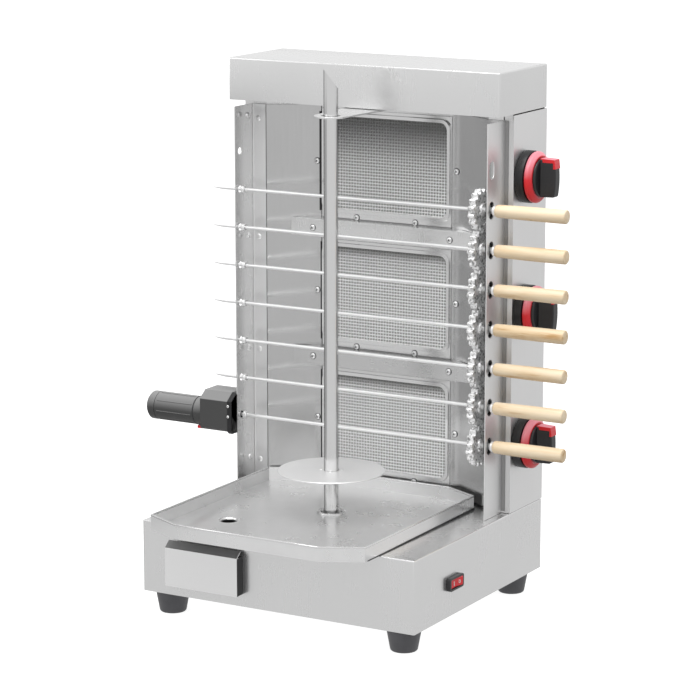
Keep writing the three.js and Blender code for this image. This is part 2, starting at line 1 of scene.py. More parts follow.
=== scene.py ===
"""Looks for the vertical rotisserie broiler: materials, screws, wire screens, gears, knobs and light.

Sizes are in millimetres unless a name says otherwise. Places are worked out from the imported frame.
"""

import json
import math

import bpy
from mathutils import Matrix, Vector


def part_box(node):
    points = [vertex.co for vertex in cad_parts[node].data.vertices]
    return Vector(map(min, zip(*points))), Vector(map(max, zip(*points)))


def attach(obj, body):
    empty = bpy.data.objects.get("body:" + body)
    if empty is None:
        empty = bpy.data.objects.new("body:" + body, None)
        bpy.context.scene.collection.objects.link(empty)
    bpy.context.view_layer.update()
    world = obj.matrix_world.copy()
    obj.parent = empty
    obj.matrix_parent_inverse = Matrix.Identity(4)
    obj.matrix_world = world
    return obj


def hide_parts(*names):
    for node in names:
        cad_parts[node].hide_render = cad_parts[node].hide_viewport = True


MM = 0.001
UP = Vector((0, 0, 1))
BACKWARDS = Vector((0, 1, 0))
FORWARDS = Vector((0, -1, 0))
RIGHT = Vector((1, 0, 0))

# The camera: where it stands and how it looks down on the object.
CAMERA_PLACE_M = (1.6114, -2.7603, 0.9574)
CAMERA_YAW = 29.754
CAMERA_PITCH = 11.687
CAMERA_LENS = 148.35

# Softened edges
COMMON_EDGE = 0.35
SHARPEST_SMOOTH_ANGLE = 32
FLAT_ANGLE = 0.6

# Burners
BURNERS = (1, 2, 3)
TOP_BURNER = 1
SCREEN_PITCH = 3.6
SCREEN_WIRE = 1.5
SCREEN_SETBACK = 1.0
# Tone of the wire at the top of the painted shade on the burner screens.
SHADE_TONE = 0.36
PLAQUE_HOLE_PITCH = 1.45
WINDOW_HALF_WIDTH = 80.0
WINDOW_HALF_HEIGHT = 54.5
WINDOW_CORNER = 9.0
STRIP_SCREW_X = 91.5
LIP_SCREW_X = 38.5
LIP_SCREW_DROP = 63
CROSSBARS = ("crossbar_upper", "crossbar_lower")
CROSSBAR_SCREW_X = 90
FRAME_SHEET = 1.5
FRAME_OVER_WINDOW = 5.5
BACKING_HALF_WIDTH = 90

# Columns and reflectors; an X is a distance out from the spit's axis
PLATE_X = 163.0
SIDE_WALL_X = 173.8
REFLECTOR_FRONT_X = 144.7
REFLECTOR_BACK_X = 99.4
SHEET = 1.2
PLATE_RIVET_LEVELS = (547.6, 406.1, 272.5, 141.3)
FLANGE_SCREW_LEVELS = (541.8, 402.6, 268.4, 134.2)
PLATE_RIVET_SETBACK = 18.6
FLANGE_SCREW_X = 155.4
REAR_SCREW_LEVELS = (132, 338, 545)
REAR_SCREW_INSET = 8
BASE_SCREW_INSET = 14

# Skewers
GEAR_TEETH = 16
GEAR_PITCH_RADIUS = 22.35
GEAR_WIDTH = 8
ROD_RADIUS = 2
POINT_LENGTH = 12
BLUNT_LENGTH = 1.5
SKEWERS = range(1, 8)
DRIVEN_SKEWER = 7
SLOT_STEPS = 24

# Knobs
GRIP_HALF_HEIGHT = 22
GRIP_BOW = 2

# Tray and drawer
TRAY_CORNER = (45, 23)
TRAY_SPOUT = 9
TRAY_SHEET = 1.5
TRAY_HEM_RADIUS = 1.35
SPIT_BEAD = (14.25, 2.4)
DRAIN_PLACE = (58, 94)
DRAWER_LIP_RISE = 7
DRAWER_LIP_DEPTH = 9

# Studio
WORLD_STRENGTH = 0.88
FLOOR_GLOW = 0.85
FLOOR_MIRRORED = 0.72
FLOOR_BOUNCE = 0.35
FLAG_TONE = 0.42
FLAG_X_M = -0.56

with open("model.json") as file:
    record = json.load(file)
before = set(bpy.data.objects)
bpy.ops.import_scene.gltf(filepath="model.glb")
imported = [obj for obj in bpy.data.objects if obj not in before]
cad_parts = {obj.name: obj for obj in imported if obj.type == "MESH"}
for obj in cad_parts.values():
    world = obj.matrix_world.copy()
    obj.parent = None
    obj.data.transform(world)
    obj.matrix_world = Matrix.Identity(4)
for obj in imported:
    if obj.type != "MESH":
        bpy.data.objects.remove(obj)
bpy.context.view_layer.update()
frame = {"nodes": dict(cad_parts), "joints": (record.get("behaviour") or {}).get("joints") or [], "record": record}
nodes = frame["nodes"]
joints = {joint["name"]: joint for joint in frame["joints"]}
slots = {part["node"]: part["material_slot"] for part in frame["record"]["subparts"]}


def extent(node):
    """Lowest and highest corner of a CAD node, in millimetres."""
    low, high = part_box(node)
    return low / MM, high / MM


def pivot(joint):
    """A point on a hinge's axis, in millimetres."""
    return Vector(joints[joint]["pos_m"]) / MM


spit_axis = pivot("spit_spin")
CENTRE_X = spit_axis.x


# -------- materials
def new_material(name, colour, roughness, metallic=0.0):
    """A new material, its node tree and its shader."""
    material = bpy.data.materials.new(name)
    material.use_nodes = True
    shader = material.node_tree.nodes["Principled BSDF"]
    shader.inputs["Base Color"].default_value = (*colour, 1)
    shader.inputs["Roughness"].default_value = roughness
    shader.inputs["Metallic"].default_value = metallic
    return material, material.node_tree, shader


def noise(tree, scale, detail):
    """Noise in the row frame; scale is features per metre along X, Y and Z."""
    coords = tree.nodes.new("ShaderNodeTexCoord")
    mapping = tree.nodes.new("ShaderNodeMapping")
    mapping.inputs["Scale"].default_value = scale
    texture = tree.nodes.new("ShaderNodeTexNoise")
    texture.inputs["Scale"].default_value = 1
    texture.inputs["Detail"].default_value = detail
    tree.links.new(coords.outputs["Object"], mapping.inputs["Vector"])
    tree.links.new(mapping.outputs["Vector"], texture.inputs["Vector"])
    return texture.outputs["Fac"]


def spread(tree, value, low, high, start=0.3, end=0.7):
    """Maps a value that runs from start to end onto low to high."""
    node = tree.nodes.new("ShaderNodeMapRange")
    node.inputs["From Min"].default_value = start
    node.inputs["From Max"].default_value = end
    node.inputs["To Min"].default_value = low
    node.inputs["To Max"].default_value = high
    tree.links.new(value, node.inputs["Value"])
    return node.outputs["Result"]


def ramp(tree, value, *stops):
    """Colour ramp of (position, colour) stops."""
    node = tree.nodes.new("ShaderNodeValToRGB")
    elements = node.color_ramp.elements
    for i, (position, colour) in enumerate(stops):
        element = elements[i] if i < 2 else elements.new(position)
        element.position = position
        element.color = (*colour, 1)
    tree.links.new(value, node.inputs["Fac"])
    return node.outputs["Color"]


def combine(tree, first, second, share):
    """A share of the second value mixed into the first."""
    node = tree.nodes.new("ShaderNodeMix")
    node.inputs["Factor"].default_value = share
    tree.links.new(first, node.inputs["A"])
    tree.links.new(second, node.inputs["B"])
    return node.outputs["Result"]


def bump(tree, shader, height, strength, distance_mm):
    """Lets a height value raise a surface."""
    node = tree.nodes.new("ShaderNodeBump")
    node.inputs["Strength"].default_value = strength
    node.inputs["Distance"].default_value = distance_mm * MM
    tree.links.new(height, node.inputs["Height"])
    tree.links.new(node.outputs["Normal"], shader.inputs["Normal"])


def steel(name, tone, roughness, grain, grain_depth=0.003, cloud=0.02, metallic=1.0):
    """Steel with a drawn grain, slow tone changes and faint marks; satin where it's less metallic."""
    material, tree, shader = new_material(name, (tone,) * 3, roughness, metallic)
    lines = noise(tree, grain, 6)
    patches = noise(tree, (5, 5, 5), 2)
    smears = noise(tree, (28, 28, 16), 4)
    mixed = combine(tree, lines, patches, 0.75)
    dark, light = (tone * (1 - cloud),) * 3, (tone * (1 + cloud),) * 3
    colour = ramp(tree, mixed, (0.35, dark), (0.65, light))
    tree.links.new(colour, shader.inputs["Base Color"])
    rough = spread(tree, combine(tree, lines, smears, 0.8), roughness * 0.95, roughness * 1.05)
    tree.links.new(rough, shader.inputs["Roughness"])
    bump(tree, shader, lines, 0.04, grain_depth)
    return material


def cast_metal(name, tone, roughness):
    """Bright cast metal with small soft lumps."""
    material, tree, shader = new_material(name, (tone,) * 3, roughness, 0.7)
    lumps = noise(tree, (320, 320, 320), 3)
    colour = ramp(tree, lumps, (0.36, (tone * 0.35,) * 3), (0.52, (tone,) * 3))
    tree.links.new(colour, shader.inputs["Base Color"])
    tree.links.new(spread(tree, lumps, roughness * 0.85, roughness * 1.2), shader.inputs["Roughness"])
    bump(tree, shader, lumps, 0.5, 0.4)
    return material


def upward(tree):
    """How far a surface faces up, from 0 where it faces down to 1 where it faces up."""
    geometry = tree.nodes.new("ShaderNodeNewGeometry")
    parts = tree.nodes.new("ShaderNodeSeparateXYZ")
    tree.links.new(geometry.outputs["Normal"], parts.inputs["Vector"])
    return spread(tree, parts.outputs["Z"], 0, 1, -1, 1)


def pebbled(tree, shader, roughness, pebble):
    """Fine pebble and patches of uneven roughness; gives back the patches."""
    patches = noise(tree, (45, 45, 45), 3)
    tree.links.new(spread(tree, patches, roughness * 0.9, roughness * 1.12), shader.inputs["Roughness"])
    bump(tree, shader, noise(tree, (1600, 1600, 1600), 2), pebble, 0.08)
    return patches


def top_lit_plastic(name, stops, roughness):
    """Moulded plastic that is paler where it faces up: a painted highlight from the light above."""
    material, tree, shader = new_material(name, stops[0][1], roughness)
    tree.links.new(ramp(tree, upward(tree), *stops), shader.inputs["Base Color"])
    pebbled(tree, shader, roughness, 0.08)
    return material


def plastic(name, colour, roughness, pebble=0.12):
    """Moulded plastic or rubber."""
    material, tree, shader = new_material(name, colour, roughness)
    patches = pebbled(tree, shader, roughness, pebble)
    dark = tuple(c * 0.85 for c in colour)
    light = tuple(min(1, c * 1.12) for c in colour)
    tree.links.new(ramp(tree, patches, (0.35, dark), (0.65, light)), shader.inputs["Base Color"])
    return material


def wood(name, shift=0.0):
    """Pale turned beech: long soft figure, fine pores and a dry surface; shift makes it darker."""
    material, tree, shader = new_material(name, (0.78, 0.6, 0.4), 0.45)
    figure = noise(tree, (16, 130, 130), 5)
    pores = noise(tree, (34, 1100, 1100), 5)
    mixed = combine(tree, figure, pores, 0.22)
    figure_colours = ((0.3, 0.6, 0.38, 0.19), (0.42, 0.82, 0.64, 0.42), (0.62, 0.9, 0.76, 0.56))
    stops = []
    for position, red, green, blue in figure_colours:
        stops.append((position, (red - shift, green - shift * 1.2, blue - shift * 1.3)))
    tree.links.new(ramp(tree, mixed, *stops), shader.inputs["Base Color"])
    tree.links.new(spread(tree, pores, 0.4, 0.56), shader.inputs["Roughness"])
    bump(tree, shader, pores, 0.25, 0.08)
    return material


def screen_wire(name, no_shade_level, full_shade_level):
    """Bright uneven wire, darker between two levels in metres: painted shade under the window's upper edge."""
    material, tree, shader = new_material(name, (0.9,) * 3, 0.4, 0.15)
    coords = tree.nodes.new("ShaderNodeTexCoord")
    parts = tree.nodes.new("ShaderNodeSeparateXYZ")
    tree.links.new(coords.outputs["Object"], parts.inputs["Vector"])
    # Painted shade: full tone below the lower level, darkest at the upper level.
    clean = spread(tree, parts.outputs["Z"], 1, SHADE_TONE, no_shade_level, full_shade_level)
    uneven = spread(tree, noise(tree, (420, 420, 420), 2), 0.86, 1.0, 0.34, 0.5)
    product = tree.nodes.new("ShaderNodeMath")
    product.operation = "MULTIPLY"
    tree.links.new(clean, product.inputs[0])
    tree.links.new(uneven, product.inputs[1])
    tree.links.new(product.outputs["Value"], shader.inputs["Base Color"])
    return material


def plaque(name):
    """Porous ceramic with rows of small burner holes, drawn as dark dots of painted shade."""
    material, tree, shader = new_material(name, (0.4, 0.39, 0.38), 0.85)
    coords = tree.nodes.new("ShaderNodeTexCoord")
    mapping = tree.nodes.new("ShaderNodeMapping")
    mapping.inputs["Scale"].default_value = (1 / (PLAQUE_HOLE_PITCH * MM),) * 3
    cells = tree.nodes.new("ShaderNodeTexVoronoi")
    cells.inputs["Scale"].default_value = 1
    cells.inputs["Randomness"].default_value = 0
    tree.links.new(coords.outputs["Object"], mapping.inputs["Vector"])
    tree.links.new(mapping.outputs["Vector"], cells.inputs["Vector"])
    grit = noise(tree, (900, 900, 900), 3)
    holes = spread(tree, cells.outputs["Distance"], 0, 1, 0.26, 0.4)
    # Near-black in the holes: painted shade inside them.
    colour = ramp(tree, holes, (0.0, (0.05, 0.049, 0.048)), (1.0, (0.38, 0.37, 0.36)))
    tree.links.new(colour, shader.inputs["Base Color"])
    bump(tree, shader, combine(tree, holes, grit, 0.3), 0.5, 0.3)
    return material


upright_grain = (900, 900, 14)
level_grain = (14, 900, 900)
MATERIALS = {
    "brushed_steel": steel("brushed_steel", 0.78, 0.27, upright_grain, metallic=0.92),
    "polished_steel": steel("polished_steel", 0.76, 0.17, (500, 500, 30)),
    "skewer_steel": steel("skewer_steel", 0.92, 0.36, level_grain, metallic=0.8),
    "handle_wood": wood("handle_wood"),
    "burner_ceramic": plaque("burner_ceramic"),
    "aluminised_steel": steel("aluminised_steel", 0.5, 0.42, (300, 300, 300), 0.03, 0.08),
    "brass": steel("brass", 0.6, 0.3, (400, 400, 400), 0.02, 0.03),
    "knob_plastic": plastic("knob_black", (0.014, 0.014, 0.016), 0.38),
    "black_plastic": plastic("black_plastic", (0.03, 0.03, 0.032), 0.36),
    # Red plastic, paler where it faces up: a painted highlight.
    "red_plastic": top_lit_plastic("red_plastic", ((0.0, (0.72, 0.008, 0.012)), (0.5, (0.74, 0.014, 0.022)),
                                                 (0.95, (0.86, 0.2, 0.26))), 0.34),
    "foot_rubber": plastic("foot_rubber", (0.1, 0.1, 0.108), 0.45, 0.2),
}
# Motor plastic, paler towards the top: a painted highlight.
motor_plastic = top_lit_plastic("motor_plastic", ((0.0, (0.035,) * 3), (0.5, (0.055,) * 3), (0.72, (0.16,) * 3),
                                                (0.95, (0.24,) * 3)), 0.42)
NODE_MATERIALS = {
    "reflector_left": steel("reflector_steel_left", 0.58, 0.2, (500, 500, 20), 0.004, 0.04),
    "reflector_right": steel("reflector_steel_right", 0.6, 0.2, (500, 500, 20), 0.004, 0.04),
    "drip_tray": steel("tray_steel", 0.84, 0.28, (60, 60, 60), 0.002, 0.05, 0.86),
    "spit_tube": steel("spit_steel", 0.78, 0.16, (300, 300, 20)),
    "column_right": steel("column_steel_right", 0.8, 0.38, upright_grain, metallic=0.92),
    "crossbar_lower": steel("bar_steel", 0.63, 0.27, level_grain, metallic=0.92),
    "grease_drawer": steel("drawer_steel", 0.9, 0.3, upright_grain, metallic=0.85),
    "skewer_motor_housing": motor_plastic,
    "battery_cap": motor_plastic,
}
spit_shader = NODE_MATERIALS["spit_tube"].node_tree.nodes["Principled BSDF"]
spit_shader.inputs["Specular Tint"].default_value = (0.12, 0.12, 0.12, 1)
wood_shifts = (0.0, 0.035, 0.012, 0.05, 0.02, -0.01, 0.03)
WOODS = [wood(f"beech_{k}", shift) for k, shift in enumerate(wood_shifts)]
bright_cast = cast_metal("bright_cast", 0.9, 0.38)
disc_steel = steel("disc_steel", 0.84, 0.4, (40, 40, 400), 0.004, 0.04, 0.65)
# Knob ring red, turning pink towards the top: a painted highlight.
ring_red = top_lit_plastic("ring_red", ((0.0, (0.72, 0.006, 0.01)), (0.5, (0.76, 0.02, 0.03)),
                                      (0.74, (0.9, 0.3, 0.36))), 0.36)
# Brighter copy of the steel for the painted highlight on the reflectors' folds.
lit_fold_steel = steel("lit_fold_steel", 0.9, 0.3, upright_grain, metallic=0.8)
dim_steel = steel("dim_steel", 0.36, 0.34, upright_grain, cloud=0.05)
dark_steel = steel("dark_steel", 0.24, 0.35, level_grain, cloud=0.03)
# Black for the knob cups and other black parts, and for the dark sheets of painted shade.
cup_black = plastic("cup_black", (0.006, 0.006, 0.007), 0.42)
white_paint = plastic("white_print", (0.85, 0.85, 0.85), 0.45)


# -------- CAD nodes
def cleaning_group():
    """Geometry nodes that drop a CAD mesh's own normals, weld it and shade it smooth."""
    group = bpy.data.node_groups.new("clean_cad", "GeometryNodeTree")
    for direction in ("INPUT", "OUTPUT"):
        group.interface.new_socket("Geometry", in_out=direction, socket_type="NodeSocketGeometry")
    steps = [group.nodes.new("NodeGroupInput"), group.nodes.new("GeometryNodeRemoveAttribute"),
             group.nodes.new("GeometryNodeMergeByDistance")]
    steps[1].inputs["Name"].default_value = "custom_normal"
    steps[2].inputs["Distance"].default_value = 0.01 * MM
    for domain in ("EDGE", "FACE"):
        smooth = group.nodes.new("GeometryNodeSetShadeSmooth")
        smooth.domain = domain
        smooth.inputs["Shade Smooth"].default_value = True
        steps.append(smooth)
    steps.append(group.nodes.new("NodeGroupOutput"))
    for before, after in zip(steps, steps[1:]):
        group.links.new(before.outputs["Geometry"], after.inputs["Geometry"])
    return group


def soften(obj, width):
    """Rounds the sharp edges of a piece by a bevel that leaves its flat faces flat."""
    modifier = obj.modifiers.new("soft_edges", "BEVEL")
    modifier.width = width * MM
    modifier.segments = 2
    modifier.limit_method = "ANGLE"
    modifier.angle_limit = math.radians(SHARPEST_SMOOTH_ANGLE)
    modifier.harden_normals = True


def dress(node, edge):
    """Gives a CAD node its material, welds it and softens its edges."""
    obj = nodes[node]
    obj.material_slots[0].material = NODE_MATERIALS.get(node, MATERIALS[slots[node]])
    clean = obj.modifiers.new("clean", "NODES")
    clean.node_group = clean_cad
    flat = obj.modifiers.new("flat", "DECIMATE")
    flat.decimate_type = "DISSOLVE"
    flat.angle_limit = math.radians(FLAT_ANGLE)
    soften(obj, edge)


EDGES = {
    "base_housing": 0.4, "base_bottom_plate": 0.4, "hood": 0.4, "rear_panel": 0.3,
    "column_left": 0.45, "column_right": 0.45, "drip_tray": 0.6, "grease_drawer": 0.5,
    "rocker_housing": 0.6, "rocker": 0.5, "skewer_motor_housing": 1.2, "battery_cap": 0.8,
}
clean_cad = cleaning_group()
for node in nodes:
    dress(node, EDGES.get(node, COMMON_EDGE))


# -------- mesh tools
class Shape:
    """Corners and faces of a piece that is put together from several closed shapes."""

    def __init__(self):
        self.corners = []
        self.faces = []

    def add(self, corners, faces, place=None):
        """Adds one closed shape, moved by a matrix where there is one."""
        start = len(self.corners)
        self.corners += [place @ Vector(c) if place else Vector(c) for c in corners]
        self.faces += [tuple(start + i for i in face) for face in faces]
        return self

    def make(self, name, material, body, slot, edge=0.0, crease=35):
        """The piece itself: softened by a bevel where edge is given, or sharp past the crease angle."""
        mesh = bpy.data.meshes.new(name)
        mesh.from_pydata([c * MM for c in self.corners], [], self.faces)
        mesh.polygons.foreach_set("use_smooth", [True] * len(mesh.polygons))
        mesh.update()
        if not edge:
            mesh.set_sharp_from_angle(angle=math.radians(crease))
        mesh.materials.append(material)
        obj = bpy.data.objects.new(name, mesh)
        bpy.context.scene.collection.objects.link(obj)
        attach(obj, body)
        if edge:
            soften(obj, edge)
        return obj


def place_along(direction, origin):
    """Matrix that turns the Z axis to a direction and moves it to an origin."""
    turn = Vector(direction).to_track_quat("Z", "Y").to_matrix().to_4x4()
    return Matrix.Translation(Vector(origin)) @ turn


def revolved(profile, sides):
    """Solid of revolution about Z. The (radius, z) profile runs from bottom to top, or round a ring."""
    ring_closed = profile[0][0] > 0 or profile[-1][0] > 0
    corners, rows = [], []
    for radius, level in profile:
        if radius == 0:
            rows.append([len(corners)] * sides)
            corners.append((0, 0, level))
            continue
        rows.append(list(range(len(corners), len(corners) + sides)))
        for i in range(sides):
            angle = 2 * math.pi * i / sides
            corners.append((radius * math.cos(angle), radius * math.sin(angle), level))
    pairs = list(zip(rows, rows[1:]))
    if ring_closed:
        pairs.append((rows[-1], rows[0]))
    faces = []
    for lower, upper in pairs:
        for i in range(sides):
            j = (i + 1) % sides
            face = [lower[i], lower[j], upper[j], upper[i]]
            face = list(dict.fromkeys(face))
            if len(face) > 2:
                faces.append(face)
    return corners, faces


def stacked(outlines):
    """Closed skin through outlines of (x, y, z) points, each with as many points as the next."""
    count = len(outlines[0])
    corners = [point for outline in outlines for point in outline]
    faces = [tuple(reversed(range(count)))]
    for row in range(len(outlines) - 1):
        for i in range(count):
            j = (i + 1) % count
            a, b = row * count, (row + 1) * count
            faces.append((a + i, a + j, b + j, b + i))
    last = (len(outlines) - 1) * count
    faces.append(tuple(range(last, last + count)))
    return corners, faces


def looped(rings, flip=False):
    """Closed tube through rings, from the last back to the first; flip turns its faces over."""
    count = len(rings[0])
    corners = [point for ring in rings for point in ring]
    faces = []
    for row in range(len(rings)):
        a, b = row * count, (row + 1) % len(rings) * count
        for k in range(count):
            j = (k + 1) % count
            faces.append((a + k, b + k, b + j, a + j) if flip else (a + k, a + j, b + j, b + k))
    return corners, faces


def slab(x0, x1, y0, y1, z0, z1):
    """Box between two values of X, of Y and of Z."""
    base = [(x0, y0), (x1, y0), (x1, y1), (x0, y1)]
    return stacked([[(x, y, z0) for x, y in base], [(x, y, z1) for x, y in base]])


def wire(points, radius, sides):
    """Round wire through points, with closed ends."""
    outlines = []
    for i, point in enumerate(points):
        along = (points[min(i + 1, len(points) - 1)] - points[max(i - 1, 0)]).normalized()
        across = along.cross(BACKWARDS).normalized() if abs(along.y) < 0.9 else RIGHT
        other = across.cross(along)
        ring = []
        for k in range(sides):
            angle = 2 * math.pi * k / sides
            ring.append(point + radius * (math.cos(angle) * across - math.sin(angle) * other))
        outlines.append(ring)
    return stacked(outlines)


def span(side, near, far):
    """Two distances out from the spit's axis, as the lowest and the highest X on one side of it."""
    return sorted((CENTRE_X + side * near, CENTRE_X + side * far))


def torus(radius, thickness, sides=64, section=14):
    """Ring about Z with a round section."""
    ring = []
    for i in range(section):
        angle = 2 * math.pi * i / section
        ring.append((radius + thickness * math.cos(angle), thickness * math.sin(angle)))
    return revolved(ring, sides)


def turned(profile, place, name, material, body, slot, sides=48, crease=35):
    """Piece of revolution about the Z axis of a place."""
    return Shape().add(*revolved(profile, sides), place).make(name, material, body, slot, crease=crease)


# -------- screws and rivets
def dome_profile(radius, height):
    """Head with a low rim and a rounded top, standing on z = 0."""
    rim = 0.3 * height
    steps = 7
    profile = [(0, -0.6), (radius, -0.6), (radius, rim)]
    for i in range(1, steps + 1):
        angle = math.pi / 2 * i / steps
        profile.append((radius * math.cos(angle), rim + (height - rim) * math.sin(angle)))
    profile[-1] = (0, height)
    return profile


def head(radius, height):
    """Domed head of a screw or a rivet."""
    return revolved(dome_profile(radius, height), 28)


def cross_recess(radius, width, height):
    """The cross of a driver recess, drawn as two shallow bars at the top of a head; the screws colour them black
    as painted shade in the recess.
    """
    shape = Shape()
    for long_x, long_y in ((radius, width / 2), (width / 2, radius)):
        shape.add(*slab(-long_x, long_x, -long_y, long_y, height - 0.9, height))
    return shape


def screws(name, spots, radius=3.3, height=2.3):
    """Screws at (place, outward direction) spots; their crosses and dark seats are a second piece, painted shade
    in the recess and under the head.
    """
    heads, recesses = Shape(), Shape()
    recess = cross_recess(radius * 0.5, radius * 0.22, height + 0.04)
    seat = revolved([(0, -0.4), (radius + 0.7, -0.4), (radius + 0.6, 0.22), (0, 0.22)], 28)
    for place, outward in spots:
        at = place_along(outward, place)
        heads.add(*head(radius, height), at)
        recesses.add(recess.corners, recess.faces, at @ Matrix.Rotation(math.radians(27), 4, "Z"))
        recesses.add(*seat, at)
    heads.make(name, MATERIALS["skewer_steel"], "housing", "skewer_steel")
    recesses.make(name + "_recesses", recess_shade, "housing", "skewer_steel")


def rivets(name, spots, body="housing", radius=3.0, height=1.5):
    """Rivet heads at (place, outward direction) spots, joined into one piece."""
    heads = Shape()
    for place, outward in spots:
        heads.add(*head(radius, height), place_along(outward, place))
    heads.make(name, MATERIALS["skewer_steel"], body, "skewer_steel")


# Black for the painted shade in screw recesses and under screw heads.
recess_shade = plastic("recess_shade", (0.02, 0.02, 0.021), 0.5)

reflector_low, reflector_high = extent("reflector_left")
burner_level = {i: pivot(f"knob_{i}_turn").z for i in BURNERS}
plate_front_y = extent("burner_frame_1")[1].y - FRAME_SHEET  # the frames' flat front
shadow_y = (plate_front_y - 0.15, plate_front_y + 0.1)  # near and far side of the thin dark strips


def make_burner_screws():
    """Screws beside each burner frame, in its lower lip and in the crossbars' ends."""
    spots = []
    for level in burner_level.values():
        for side in (-1, 1):
            beside = Vector((CENTRE_X + side * STRIP_SCREW_X, plate_front_y + 0.2, level))
            below = Vector((CENTRE_X + side * LIP_SCREW_X, plate_front_y, level - LIP_SCREW_DROP))
            spots += [(beside, FORWARDS), (below, FORWARDS)]
    for bar in CROSSBARS:
        low, high = extent(bar)
        for side in (-1, 1):
            middle = Vector((CENTRE_X + side * CROSSBAR_SCREW_X, low.y, (low.z + high.z) / 2))
            spots.append((middle, FORWARDS))
    screws("burner_screws", spots)


def make_column_rivets():
    """Rivet heads beside the standing plates, at the columns' inner edges, and heads on the flanges."""
    plate_spots, flange_spots = [], []
    for side, node in ((-1, "column_left"), (1, "column_right")):
        low, high = extent(node)
        inner_x = high.x if side < 0 else low.x  # the edge of the rear return, inside the plate
        outer_x = inner_x + side * SHEET
        y = low.y + PLATE_RIVET_SETBACK
        for level in PLATE_RIVET_LEVELS:
            plate_spots.append((Vector((inner_x, y, level)), RIGHT * -side))
            plate_spots.append((Vector((outer_x, y, level)), RIGHT * side))
        for level in FLANGE_SCREW_LEVELS:
            place = Vector((CENTRE_X + side * FLANGE_SCREW_X, reflector_low.y, level))
            flange_spots.append((place, FORWARDS))
    rivets("plate_rivets", plate_spots)
    rivets("flange_rivets", flange_spots, radius=3.2, height=1.8)


def make_rear_screws():
    """Screws in the rear cover and low on the back of the base."""
    low, high = extent("rear_panel")
    spots = []
    for x in (low.x + REAR_SCREW_INSET, high.x - REAR_SCREW_INSET):
        for level in REAR_SCREW_LEVELS:
            spots.append((Vector((x, high.y + 0.3, level)), BACKWARDS))
    base_low, base_high = extent("base_housing")
    for x in (base_low.x + BASE_SCREW_INSET, 0, base_high.x - BASE_SCREW_INSET):
        spots.append((Vector((x, base_high.y, base_low.z + 10)), BACKWARDS))
    screws("rear_screws", spots, radius=3, height=2)


def make_burner_backing():
    """Mounting sheet seen in the narrow gaps round the burner frames."""
    near, far = plate_front_y + 1.6, plate_front_y + 2.4
    frame_half = WINDOW_HALF_HEIGHT + FRAME_OVER_WINDOW
    levels = sorted(burner_level.values())
    gaps = [(extent("column_left")[0].z, levels[0] - frame_half)]
    gaps += [(below + frame_half, above - frame_half) for below, above in zip(levels, levels[1:])]
    gaps.append((levels[-1] + frame_half, extent("hood")[0].z + 3))
    sheet = Shape()
    for bottom, top in gaps:
        sheet.add(*slab(*span(1, -BACKING_HALF_WIDTH, BACKING_HALF_WIDTH), near, far, bottom, top))
    for side in (-1, 1):
        across = span(side, 84.5, BACKING_HALF_WIDTH)
        for level in levels:
            sheet.add(*slab(*across, near, far, level - frame_half + 0.1, level + frame_half - 0.1))
    sheet.make("burner_backing", MATERIALS["brushed_steel"], "housing", "brushed_steel")


def make_flange_strips():
    """Strips in a brighter copy of the steel on the folds beside the reflectors, a painted highlight there, with a
    bead along the left one.
    """
    low, bottom, top = reflector_low, reflector_low.z + 1, reflector_high.z - 0.3
    strips = Shape()
    for side, near in ((-1, 145.5), (1, 160)):
        strips.add(*slab(*span(side, near, PLATE_X - 0.05), low.y - 0.5, low.y - 0.05, bottom, top))
    bead = [Vector((CENTRE_X - PLATE_X + 0.7, low.y - 0.7, z)) for z in (bottom, top)]
    strips.add(*wire(bead, 0.75, 10))
    strips.make("flange_strips", lit_fold_steel, "housing", "polished_steel")


def make_frame_shadow_line():
    """Thin dark strips for the shadow at the burner frames' left edges; the top frame's is wider."""
    strips = Shape()
    half_height = 58
    for index, level in burner_level.items():
        far = 88.4 if index == TOP_BURNER else 87.2
        strips.add(*slab(*span(-1, 85.6, far), *shadow_y, level - half_height, level + half_height))
    strips.make("frame_shadow_line", cup_black, "housing", "black_plastic")


def make_shadow_lines():
    """Thin dark strips for the shadow at the left reflector's fold and along the crossbars."""
    low, high = reflector_low, reflector_high
    fold = span(-1, REFLECTOR_FRONT_X, REFLECTOR_FRONT_X + 0.7)
    lines = Shape().add(*slab(*fold, low.y - 0.5, low.y - 0.05, low.z + 1, high.z - 0.3))
    for bar in CROSSBARS:
        bar_low, bar_high = extent(bar)
        for bottom, top in ((bar_low.z - 1.9, bar_low.z - 0.2), (bar_high.z + 0.2, bar_high.z + 1.6)):
            lines.add(*slab(CENTRE_X - 84, CENTRE_X + 86, *shadow_y, bottom, top))
    lines.make("shadow_lines", dark_steel, "housing", "brushed_steel")


def make_right_fold_line():
    """Dim strip for the shadow in the right column's fold."""
    low, high = reflector_low, reflector_high
    across = span(1, PLATE_X + 1.3, PLATE_X + 5.6)
    line = Shape().add(*slab(*across, low.y + 2.3, low.y + 2.55, low.z + 2, high.z - 0.3))
    line.make("right_fold_line", dim_steel, "housing", "brushed_steel")


def make_top_closers():
    """Strips that close the gap between the tops of the columns and reflectors and the hood."""
    front, back, sheet = reflector_low.y + 0.9, plate_front_y + 1.5, 0.6
    bottom, top = reflector_high.z - 0.5, extent("hood")[0].z - 0.1
    closers = Shape()
    for side in (-1, 1):
        flange = span(side, REFLECTOR_FRONT_X - 0.2, PLATE_X - 0.1)
        closers.add(*slab(*flange, front, front + sheet, bottom, top))
        column = span(side, PLATE_X + 0.1, SIDE_WALL_X - 0.2)
        closers.add(*slab(*column, front + 1.7, front + 2.7, bottom, top))
        near_x, far_x = CENTRE_X + side * REFLECTOR_FRONT_X, CENTRE_X + side * REFLECTOR_BACK_X
        slant = [(near_x, front), (far_x, back), (far_x, back + sheet), (near_x, front + sheet)]
        if side < 0:
            slant.reverse()
        closers.add(*stacked([[(x, y, z) for x, y in slant] for z in (bottom, top)]))
    closers.make("top_closers", MATERIALS["brushed_steel"], "housing", "brushed_steel")


